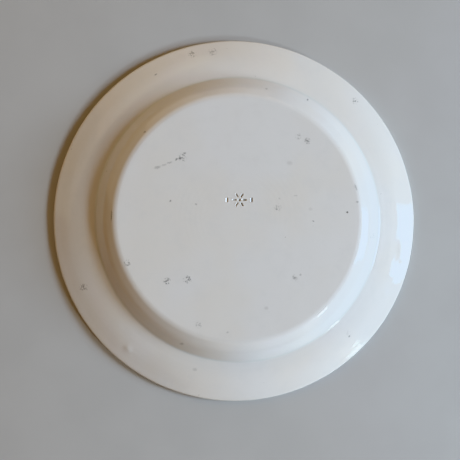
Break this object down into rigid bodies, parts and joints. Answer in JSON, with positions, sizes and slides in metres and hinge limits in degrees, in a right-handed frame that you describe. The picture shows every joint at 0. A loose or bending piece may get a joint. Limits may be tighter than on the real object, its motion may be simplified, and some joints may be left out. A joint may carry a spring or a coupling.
{
  "type": "dinner plate",
  "caption": "Plain white glazed china dinner plate with a wide gently curved rim and a flat base without a foot ring, lying face down.",
  "frame": {"origin": "on the surface that the plate lies on, face down, under the plate's axis", "axes": "+Z along the plate's axis, out of the underside of its base; +Y from the axis towards the stamp pressed into the base. Half a turn about X stands the plate right way up for laying a table"},
  "size_m": [0.25, 0.25, 0.023],
  "materials": {
    "fired_clay": "biscuit-fired, matt, hidden under the glaze",
    "clear_glaze": "gloss, with small firing specks and pinholes"
  },
  "bodies": {
    "root": {"earthenware_body": "fired_clay", "glaze_coat": "clear_glaze"}
  },
  "joints": []
}
